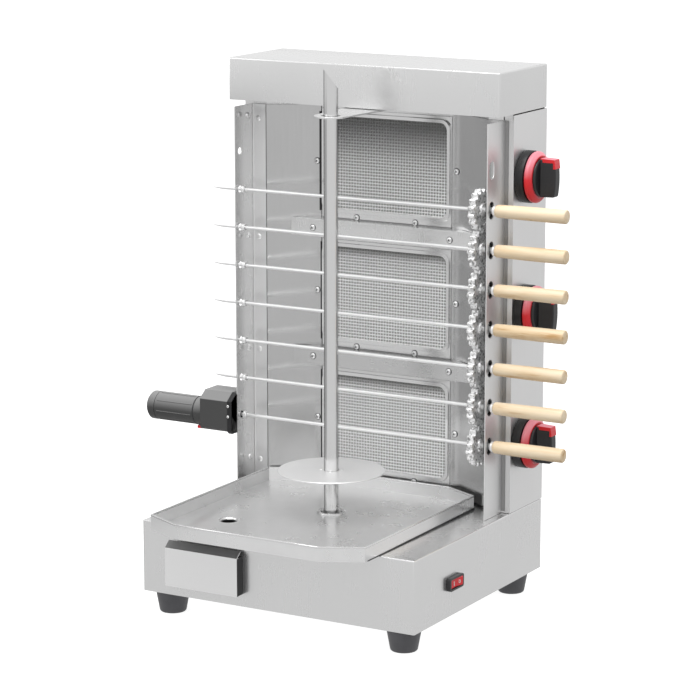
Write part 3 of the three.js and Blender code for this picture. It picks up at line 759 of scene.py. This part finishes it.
make_flange_strips()
make_frame_shadow_line()
make_shadow_lines()
make_right_fold_line()
make_top_closers()
make_burner_backing()
make_burner_screws()
make_column_rivets()
make_rear_screws()


# -------- burner wire screens
def window_reach(offset, half_across, half_along):
    """Half the length of a window with rounded corners, at an offset across it."""
    over = abs(offset) - (half_across - WINDOW_CORNER)
    if over <= 0:
        return half_along
    return half_along - (WINDOW_CORNER - math.sqrt(max(0, WINDOW_CORNER**2 - over**2)))


def make_screen(index):
    """Plain-woven wire screen in a burner's rounded window, with painted shade under the window's upper edge."""
    tile_low, tile_high = extent(f"ceramic_tile_{index}")
    level = (tile_low.z + tile_high.z) / 2
    # Painted shade under the window's upper edge. On the top burner it starts lower and fades over a longer reach.
    shade_drop, shade_fade = (8, 40) if index == TOP_BURNER else (1, 9)
    full_shade = (level + WINDOW_HALF_HEIGHT - shade_drop) * MM
    wire_steel = screen_wire(f"wire_steel_{index}", full_shade - shade_fade * MM, full_shade)
    y = tile_low.y - SCREEN_SETBACK - SCREEN_WIRE / 2
    swing = SCREEN_WIRE * 0.45
    halves = (WINDOW_HALF_WIDTH, WINDOW_HALF_HEIGHT)
    shape = Shape()
    for upright in (True, False):
        half_across, half_along = halves if upright else reversed(halves)
        count = int(half_across // SCREEN_PITCH)
        for k in range(-count, count + 1):
            offset = k * SCREEN_PITCH
            length = window_reach(offset, half_across, half_along) + 0.3
            steps = int(length * 2 / (SCREEN_PITCH / 2)) + 1
            points = []
            for i in range(steps + 1):
                along = -length + 2 * length * i / steps
                phase = math.pi * (along / SCREEN_PITCH + k + (0 if upright else 1))
                depth = swing * math.cos(phase)
                x, z = (offset, along) if upright else (along, offset)
                points.append(Vector((CENTRE_X + x, y + depth, level + z)))
            shape.add(*wire(points, SCREEN_WIRE / 2, 6))
    shape.make(f"burner_screen_{index}", wire_steel, "housing", "burner_ceramic", crease=180)


for index in BURNERS:
    make_screen(index)


# -------- skewers
def gear_outline(phase, shrink=0.0):
    """Rounded tooth outline as (radius, angle) pairs; shrink pulls it in for each face's chamfer."""
    module = 2 * GEAR_PITCH_RADIUS / GEAR_TEETH
    root, tip = GEAR_PITCH_RADIUS - 0.85 * module, GEAR_PITCH_RADIUS + 0.6 * module
    steps = 14
    points = []
    for i in range(GEAR_TEETH * steps):
        turn = 2 * math.pi * i / steps
        wave = math.cos(turn)
        shape = math.copysign(abs(wave) ** 0.6, wave)
        radius = (root + tip) / 2 + (tip - root) / 2 * shape
        points.append((radius - shrink * (1 + shape) / 2 - 0.2 * shrink, phase + turn / GEAR_TEETH))
    return points


def gear(phase):
    """Cast gear about Z with a low rim and a hub."""
    half = GEAR_WIDTH / 2
    outline = gear_outline(phase)
    shrunk = gear_outline(phase, 0.8)
    angles = [angle for _, angle in outline]

    def circle(radius, level):
        return [(radius * math.cos(a), radius * math.sin(a), level) for a in angles]

    def toothed(points, level):
        return [(r * math.cos(a), r * math.sin(a), level) for r, a in points]

    side = [circle(3.6, half + 1.6), circle(6.6, half + 1.6), circle(7.4, half + 0.9),
            circle(7.8, half - 1.0), circle(16.4, half - 1.0), circle(17.2, half), toothed(shrunk, half),
            toothed(outline, half - 0.9)]
    other = [[(x, y, -z) for x, y, z in ring] for ring in reversed(side)]
    return stacked(list(reversed([*side, *other])))


def make_skewer(index):
    """Pointed rod with its collar, a cast gear and a turned wooden handle."""
    node = body = f"skewer_{index}"
    low, high = extent(node)
    axis = pivot(f"skewer_{index}_spin")
    grip_low, grip_high = extent(f"skewer_handle_{index}")
    x0, x1 = grip_low.x, grip_high.x
    start, gear_x, collar = low.x, axis.x, x0 - 4.6
    taper = BLUNT_LENGTH if index == DRIVEN_SKEWER else POINT_LENGTH
    rod = [(0, start), (0.5, start + 0.8), (ROD_RADIUS * 0.92, start + taper),
           (ROD_RADIUS, start + taper + 3), (ROD_RADIUS, gear_x - 12), (2.9, gear_x - 9.5),
           (3.5, gear_x - 8), (3.5, collar), (4.2, collar + 0.3), (5.2, collar + 0.9),
           (5.75, collar + 1.7), (5.75, x0 - 1.2), (5.2, x0 - 0.4), (2.4, x0 - 0.4), (2.4, high.x),
           (0, high.x)]
    along_x = place_along(RIGHT, (0, axis.y, axis.z))
    bright_steel = MATERIALS["skewer_steel"]
    piece = turned(rod, along_x, node + "_rod", bright_steel, body, "skewer_steel", 24, 30)
    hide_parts(node)
    phase = (index % 2) * math.pi / GEAR_TEETH
    at = place_along(RIGHT, (gear_x, axis.y, axis.z))
    Shape().add(*gear(phase), at).make(node + "_gear", bright_cast, body, "skewer_steel", crease=40)

    length = x1 - x0
    bore = [(0, x0 + 25), (3, x0 + 25)]
    handle = [(3, x0 + 0.4), (5.6, x0), (6.6, x0 + 0.5), (7.2, x0 + 1.8), (7.6, x0 + length * 0.3),
              (7.9, x0 + length * 0.75), (7.95, x1 - 1.6), (7.7, x1 - 0.7), (7.2, x1 - 0.2), (6.6, x1),
              (0, x1)]
    grip_name = f"skewer_grip_{index}"
    piece = turned(bore + handle, along_x, grip_name, WOODS[index - 1], body, "handle_wood", 40, 50)
    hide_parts(f"skewer_handle_{index}")


def make_left_bushes():
    """Flanged eyelets round the skewers' points, at the left column's inner edge."""
    x = extent("column_left")[1].x
    shape = Shape()
    ring = [(2.5, -2.2), (4.6, -2.2), (4.9, -1.8), (4.9, -1.25), (4.1, -1.2), (4.1, 0), (4.6, 0.05),
            (4.6, 0.6), (4.2, 1.0), (2.5, 1.0)]
    for i in SKEWERS:
        axis = pivot(f"skewer_{i}_spin")
        shape.add(*revolved(ring, 32), place_along(RIGHT, (x, axis.y, axis.z)))
    shape.make("point_bushes", MATERIALS["skewer_steel"], "housing", "skewer_steel")


def slot_ring(x, half_width, half_height, middle):
    """Ring of corners round an upright slot with round ends."""
    ring = []
    for k in range(SLOT_STEPS):
        angle = 2 * math.pi * k / SLOT_STEPS
        lift = half_height - half_width if math.sin(angle) >= 0 else half_width - half_height
        ring.append((x, middle.y + half_width * math.cos(angle),
                     middle.z + lift + half_width * math.sin(angle)))
    return ring


def make_slot_shades():
    """Black liners behind the slots of the right plate: painted shade in the slots round the shanks."""
    inner = CENTRE_X + PLATE_X
    lip, outside, bore = (5.9, 9.9), (7.2, 11.2), (4.6, 8.6)
    section = ((0.3, lip), (-0.15, outside), (-2.6, outside), (-2.6, bore), (0.3, bore))
    shape = Shape()
    for i in SKEWERS:
        axis = pivot(f"skewer_{i}_spin")
        shape.add(*looped([slot_ring(inner + x, *halves, axis) for x, halves in section]))
    shape.make("slot_shades", cup_black, "housing", "black_plastic")


for index in SKEWERS:
    make_skewer(index)
make_left_bushes()
make_slot_shades()


# -------- knobs
def make_knob(index):
    """Red flared ring, a low black disc, a black grip whose end is bowed, and a red pointer strip."""
    body = f"knob_{index}"
    low, high = extent(body)
    axis = pivot(f"knob_{index}_turn")
    x0, radius = low.x, (high.z - low.z) / 2
    along_x = place_along(RIGHT, (x0, axis.y, axis.z))
    ring = [(0, 0), (26.6, 0), (27.6, 0.4), (radius - 0.4, 1.2), (radius, 2.2), (radius, 4.2),
            (radius - 0.3, 5.2), (radius - 1.1, 6.1), (radius - 3.4, 8.0), (radius - 4.4, 8.6),
            (radius - 5.4, 8.7), (radius - 6.4, 8.2), (0, 8.2)]
    piece = turned(ring, along_x, f"knob_ring_{index}", ring_red, body, "red_plastic", 72, 60)
    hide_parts(body)
    disc = [(0, 8), (21.4, 8), (21.4, 9.4), (20.6, 10.4), (19, 10.9), (0, 10.9)]
    black, red = MATERIALS["knob_plastic"], MATERIALS["red_plastic"]
    turned(disc, along_x, f"knob_disc_{index}", black, body, "knob_plastic", 64, 60)

    def grip(name, material, slot, sections, low_z, edge):
        """Bar through (x, half width, half height) sections; its outer face is bowed across its height."""
        rows = []
        steps = 12
        for x, half_y, half_z in sections:
            bottom = max(-half_z, low_z)
            corners = []
            for side in (-1, 1):
                for k in range(steps + 1):
                    share = k / steps if side < 0 else 1 - k / steps
                    height = bottom + (half_z - bottom) * share
                    bowed = GRIP_BOW * (1 - (height / GRIP_HALF_HEIGHT) ** 2)
                    out = bowed if x == sections[-1][0] else 0
                    corners.append((x0 + x + out, axis.y + side * half_y, axis.z + height))
            rows.append(corners)
        made = Shape().add(*stacked(rows)).make(f"knob_{name}_{index}", material, body, slot, edge)
        made.modifiers["soft_edges"].segments = 3

    reach = high.x - x0
    bar = [(10.4, 8.4, 21.4), (13.5, 6.8, 21.3), (reach - 2.4, 6.2, 21)]
    grip("grip", black, "knob_plastic", bar, -GRIP_HALF_HEIGHT, 1.6)
    grip("pointer", red, "red_plastic", [(10.6, 6.9, 22.2), (reach - 1.9, 6.5, 21.6)], 17.6, 0.8)
    grip("pointer_end", red, "red_plastic", [(reach - 3.4, 6.45, 18), (reach - 1.85, 6.4, 18)], 11, 0.4)


def make_bezel(index):
    """Black cup behind the knob, open to the front."""
    node = f"knob_bezel_{index}"
    low, high = extent(node)
    axis = pivot(f"knob_{index}_turn")
    radius, depth = (high.z - low.z) / 2, high.x - low.x
    ring = [(6.4, 0), (radius - 1.2, 0), (radius - 0.4, 0.4), (radius, 1.4), (radius, depth - 1.2),
            (radius - 0.4, depth - 0.3), (radius - 1.2, depth), (27, depth), (26.4, depth - 0.6), (26.2, 3),
            (6.4, 3)]
    at = place_along(RIGHT, (low.x, axis.y, axis.z))
    piece = turned(ring, at, f"knob_plate_{index}", cup_black, "housing", "black_plastic", 72)
    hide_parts(node)


for index in BURNERS:
    make_knob(index)
    make_bezel(index)


# -------- spit, disc and tray
def make_disc():
    """Round plate with a boss, and four rivets round its bore."""
    low, high = extent("spit_disc")
    radius, bore, boss = (high.x - low.x) / 2, 8.45, 14
    top = high.z - 0.02
    under = top - 1.5
    profile = [(bore, low.z), (boss - 0.4, low.z), (boss, low.z + 0.4), (boss, under), (radius - 0.4, under),
               (radius, under + 0.4), (radius, top - 0.4), (radius - 0.4, top), (bore, top)]
    at = Matrix.Translation((spit_axis.x, spit_axis.y, 0))
    piece = turned(profile, at, "spit_plate", disc_steel, "disc", "brushed_steel", 128)
    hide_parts("spit_disc")
    spots = []
    out = 11.4
    for k in range(4):
        angle = math.radians(25 + 90 * k)
        place = (spit_axis.x + out * math.cos(angle), spit_axis.y + out * math.sin(angle), top)
        spots.append((Vector(place), UP))
    rivets("disc_rivets", spots, "disc", 1.8, 0.8)


def make_tray_rims():
    """Rolled hem along the top of the tray's wall and the bead round the spit hole."""
    low, high = extent("drip_tray")
    inset = TRAY_SHEET / 2
    left, right, front, back = low.x + inset, high.x - inset, low.y + inset, high.y - inset
    cut_x, cut_y = TRAY_CORNER
    corners = [(left + cut_x, front), (right - cut_x, front), (right, front + cut_y), (right, back - cut_y),
               (right - cut_x, back), (left + cut_x, back), (left, back - cut_y), (left, front + cut_y)]
    sides = 10
    rings = []
    for i, (x, y) in enumerate(corners):
        here, before, after = Vector((x, y)), Vector(corners[i - 1]), Vector(corners[(i + 1) % len(corners)])
        along = ((here - before).normalized() + (after - here).normalized()).normalized()
        outward = Vector((along.y, -along.x, 0))
        middle = Vector((x, y, high.z - TRAY_HEM_RADIUS))
        ring = []
        for k in range(sides):
            angle = 2 * math.pi * k / sides
            ring.append(middle + TRAY_HEM_RADIUS * (math.cos(angle) * outward + math.sin(angle) * UP))
        rings.append(ring)
    beads = Shape().add(*looped(rings, flip=True))
    floor_level = low.z + TRAY_SPOUT + TRAY_SHEET
    beads.add(*torus(*SPIT_BEAD), Matrix.Translation((spit_axis.x, spit_axis.y, floor_level + 0.9)))
    beads.make("tray_hem", MATERIALS["polished_steel"], "tray", "polished_steel", crease=50)


def make_drain_shade():
    """Black sleeve in the tray's drain: painted shade inside the hole."""
    low = extent("drip_tray")[0]
    bottom, top = low.z + 0.4, low.z + TRAY_SPOUT + 0.2
    ring = [(7.2, bottom), (8.3, bottom), (8.3, top - 1), (9.0, top), (8.6, top + 0.2), (7.2, top - 0.6)]
    at = Matrix.Translation((low.x + DRAIN_PLACE[0], low.y + DRAIN_PLACE[1], 0))
    turned(ring, at, "drain_hole_shade", cup_black, "tray", "polished_steel", 40)


def make_drawer_shades():
    """Dark sheet on the drawer's slanted lip, painted shade under the tray, and a dark right side of its front,
    painted shade in the gap beside it.
    """
    low, high = extent("grease_drawer")
    front, foot = low.y, high.z - DRAWER_LIP_RISE
    # Painted shade under the tray, laid on the slanted lip.
    lift = 0.12
    back = front + DRAWER_LIP_DEPTH - 0.1
    section = [(front + 0.3, foot - 0.1), (back, high.z - 0.3), (back - lift, high.z + lift),
               (front + 0.2, foot + 2 * lift)]
    cover = Shape().add(*stacked([[(x, y, z) for y, z in section] for x in (low.x + 0.3, high.x - 0.3)]))
    cover.make("drawer_lip_shade", dark_steel, "drawer", "brushed_steel")
    # Painted shade on the right side of the front and in the gap behind it.
    side = Shape()
    bottom = low.z + 0.6
    side.add(*slab(high.x - 0.05, high.x + 0.12, front + 0.9, front + 5, bottom, foot - 0.5))
    side.add(*slab(high.x - 1.1, high.x - 0.3, front + 5.05, front + 12.6, bottom, foot + 0.5))
    side.make("drawer_side_shade", cup_black, "drawer", "brushed_steel")


def make_tray_foot_shade():
    """Dark strip along the foot of the tray's side walls, round to the cut corners at the back: painted shade
    where the walls stand on the base.
    """
    low, high = extent("drip_tray")
    base_top = extent("base_housing")[1].z
    cut_x, cut_y = TRAY_CORNER
    bottom, gap = base_top + 0.15, 0.05
    heights = (0.8, 2.6, 2.6)
    shape = Shape()
    for side, edge in ((-1, low.x), (1, high.x)):
        path = [(edge + side * gap, low.y + cut_y + 6), (edge + side * gap, high.y - cut_y),
                (edge - side * (cut_x - gap), high.y + gap)]
        outer = [(path[0][0] + side * 0.6, path[0][1]), (path[1][0] + side * 0.6, path[1][1] + 0.3),
                 (path[2][0] + side * 0.3, path[2][1] + 0.6)]
        for k in (0, 1):
            ring = [path[k], path[k + 1], outer[k + 1], outer[k]]
            rises = [heights[k], heights[k + 1], heights[k + 1], heights[k]]
            lower = [(x, y, bottom) for x, y in ring]
            upper = [(x, y, bottom + rise) for (x, y), rise in zip(ring, rises)]
            if side > 0:
                lower.reverse()
                upper.reverse()
            shape.add(*stacked([lower, upper]))
    shape.make("tray_foot_shade", cup_black, "tray", "polished_steel")


make_disc()
make_tray_rims()
make_tray_foot_shade()
make_drain_shade()
make_drawer_shades()


# -------- feet, motor and rocker
def make_foot(where):
    """Tapered rubber foot with a hollow for its screw."""
    node = f"foot_{where}"
    low, high = extent(node)
    centre = (low + high) / 2
    height, wide = high.z, (high.x - low.x) / 2
    profile = [(0, 5), (4, 5), (4.2, 0.3), (4.6, 0), (12.9, 0), (14.0, 0.3), (14.9, 1.1), (15.4, 2.4),
               (wide - 0.3, height - 1.6), (wide, height - 0.8), (wide - 0.3, height), (0, height)]
    rubber = MATERIALS["foot_rubber"]
    at = Matrix.Translation((centre.x, centre.y, 0))
    piece = turned(profile, at, f"rubber_{node}", rubber, "housing", "foot_rubber", 56, 50)
    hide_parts(node)


def make_barrel_trim():
    """Long ribs on the battery barrel, and the seam past their inner ends."""
    low = extent("skewer_motor_housing")[0]
    cap_low, cap_high = extent("battery_cap")
    middle = (cap_low + cap_high) / 2
    radius = (cap_high.z - cap_low.z) / 2
    along_x = place_along(RIGHT, (0, middle.y, middle.z))
    ribs = Shape()
    for k in range(8):
        at = along_x @ Matrix.Rotation(math.radians(45 * k + 12), 4, "Z")
        ribs.add(*slab(radius - 0.5, radius + 0.45, -0.7, 0.7, low.x + 3, low.x + 52), at)
    ribs.make("barrel_ribs", motor_plastic, "housing", "black_plastic", 0.35)
    near, far = low.x + 54, low.x + 55.2
    seam = [(16.2, near), (17.3, near), (17.3, far), (16.2, far)]
    turned(seam, along_x, "barrel_seam", MATERIALS["black_plastic"], "housing", "black_plastic")


def make_motor_end():
    """Dark end plate of the motor's case, with two screws in its front edge."""
    low, high = extent("skewer_motor_housing")
    proud = 0.5
    front, back, bottom, top = low.y - proud, high.y + proud, low.z - proud, high.z + proud
    outline = [(front + 3, bottom), (back - 3, bottom), (back, bottom + 3), (back, top - 9), (back - 9, top),
               (front + 12, top), (front, top - 9), (front, bottom + 3)]
    plate = Shape().add(*stacked([[(x, y, z) for y, z in outline] for x in (high.x - 6, high.x)]))
    plate.make("motor_end_plate", cup_black, "housing", "black_plastic", 0.6)
    spots = [(Vector((high.x - 4.6, front, low.z + rise)), FORWARDS) for rise in (20.5, 33)]
    screws("motor_screws", spots, radius=1.7, height=0.9)


def make_rocker_marks():
    """Generic on and off marks on the rocker: a bar and a ring."""
    low, high = extent("rocker")
    x = high.x + 0.05
    marks = Shape()
    front, back = low.y + 6.5, high.y - 6.5
    z = (low.z + high.z) / 2
    marks.add(*slab(x - 2.6, x - 1.55, front - 0.5, front + 0.5, z - 2.4, z + 2.4))
    marks.add(*torus(1.5, 0.38, 28, 8), place_along((1, -0.18, 0), (x - 1.15, back, z)))
    marks.make("rocker_marks", white_paint, "rocker", "red_plastic")


for where in ("front_left", "front_right", "rear_left", "rear_right"):
    make_foot(where)
make_barrel_trim()
make_motor_end()
make_rocker_marks()


# -------- floor, light and camera
def flat_sheet(name, corners_m, colour, glow, seen_by):
    """Sheet of the studio; seen_by lists the kinds of ray that meet it."""
    mesh = bpy.data.meshes.new(name)
    mesh.from_pydata(corners_m, [], [(0, 1, 2, 3)])
    sheet = bpy.data.objects.new(name, mesh)
    bpy.context.scene.collection.objects.link(sheet)
    material, _, shader = new_material(name, (colour,) * 3, 0.8)
    shader.inputs["Specular IOR Level"].default_value = 0
    shader.inputs["Emission Color"].default_value = (1, 1, 1, 1)
    shader.inputs["Emission Strength"].default_value = glow
    material.cycles.emission_sampling = "NONE"
    mesh.materials.append(material)
    for kind in ("camera", "diffuse", "glossy", "transmission", "shadow"):
        setattr(sheet, "visible_" + kind, kind in seen_by)


def make_floor():
    """A pale floor, a softer one that is mirrored, and a duller one that throws light upwards."""
    size = 30
    outline = [(-size, -size), (size, -size), (size, size), (-size, size)]
    layers = (
        ("floor", 0, 0.45, FLOOR_GLOW, ("camera", "transmission", "shadow")),
        ("floor_mirrored", -0.0004, 0, FLOOR_MIRRORED, ("glossy",)),
        ("floor_bounce", -0.0008, 0, FLOOR_BOUNCE, ("diffuse",)),
    )
    for name, level, colour, glow, seen_by in layers:
        flat_sheet(name, [(x, y, level) for x, y in outline], colour, glow, seen_by)


def make_flag():
    """Grey card on the left that only shows in reflections."""
    near, far, top = -0.55, 0.25, 0.5
    x = FLAG_X_M
    corners = [(x, near, 0), (x, far, 0), (x, far, top), (x, near, top)]
    flat_sheet("grey_flag", corners, 0, FLAG_TONE, ("glossy",))


def area_light(name, place_m, aim_m, size_m, power):
    """White softbox, turned towards a point."""
    data = bpy.data.lights.new(name, "AREA")
    data.shape = "RECTANGLE"
    data.size, data.size_y = size_m
    data.energy = power
    light = bpy.data.objects.new(name, data)
    light.location = place_m
    light.rotation_euler = (Vector(aim_m) - Vector(place_m)).to_track_quat("-Z", "Y").to_euler()
    bpy.context.scene.collection.objects.link(light)


def make_light():
    """White surroundings and two softboxes."""
    world = bpy.data.worlds.new("studio")
    bpy.context.scene.world = world
    world.use_nodes = True
    background = world.node_tree.nodes["Background"]
    background.inputs["Color"].default_value = (1, 1, 1, 1)
    background.inputs["Strength"].default_value = WORLD_STRENGTH
    middle = (0, 0, 0.3)
    area_light("top_softbox", (0.1, -0.5, 2.2), middle, (1.5, 1.5), 32)
    area_light("left_softbox", (-2.2, -1.4, 1.5), middle, (1.4, 1.6), 8)


def make_camera():
    """Camera to the right of the front, looking a little down."""
    data = bpy.data.cameras.new("camera")
    data.lens = CAMERA_LENS
    camera = bpy.data.objects.new("camera", data)
    camera.location = CAMERA_PLACE_M
    camera.rotation_euler = (math.radians(90 - CAMERA_PITCH), 0, math.radians(CAMERA_YAW))
    bpy.context.scene.collection.objects.link(camera)
    bpy.context.scene.camera = camera


make_floor()
make_flag()
make_light()
make_camera()
bpy.context.scene.view_settings.view_transform = "Standard"
